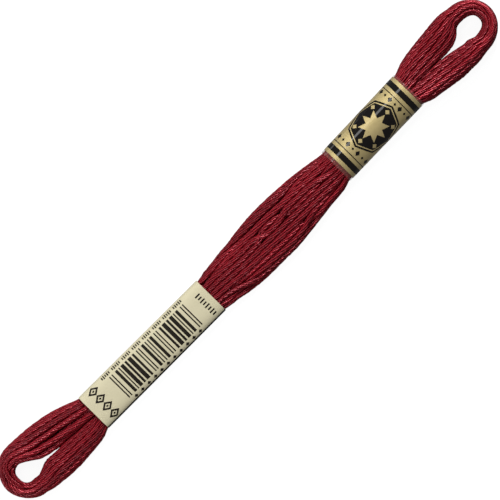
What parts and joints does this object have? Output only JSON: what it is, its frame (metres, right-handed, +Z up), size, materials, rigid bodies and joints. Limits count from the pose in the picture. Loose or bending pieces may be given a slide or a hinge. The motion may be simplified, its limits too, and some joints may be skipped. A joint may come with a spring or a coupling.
{
  "type": "skein of embroidery floss",
  "caption": "Skein of stranded embroidery floss, a flat wound hank with a looped eyelet at each end, pinched by a long paper sleeve and a short printed film sleeve.",
  "frame": {"origin": "on the surface that the skein lies on, under the middle of its box", "axes": "+X along the skein from the long sleeve's end to the short sleeve's end, +Y across it in the plane of the loops, +Z up"},
  "size_m": [0.1652, 0.016, 0.0069],
  "materials": {
    "floss": "mercerised cotton with a soft sheen",
    "paper": "matt",
    "film": "glossy printed film"
  },
  "bodies": {
    "root": {"floss_hank": "floss", "long_band": "paper", "short_band": "film"}
  },
  "joints": []
}
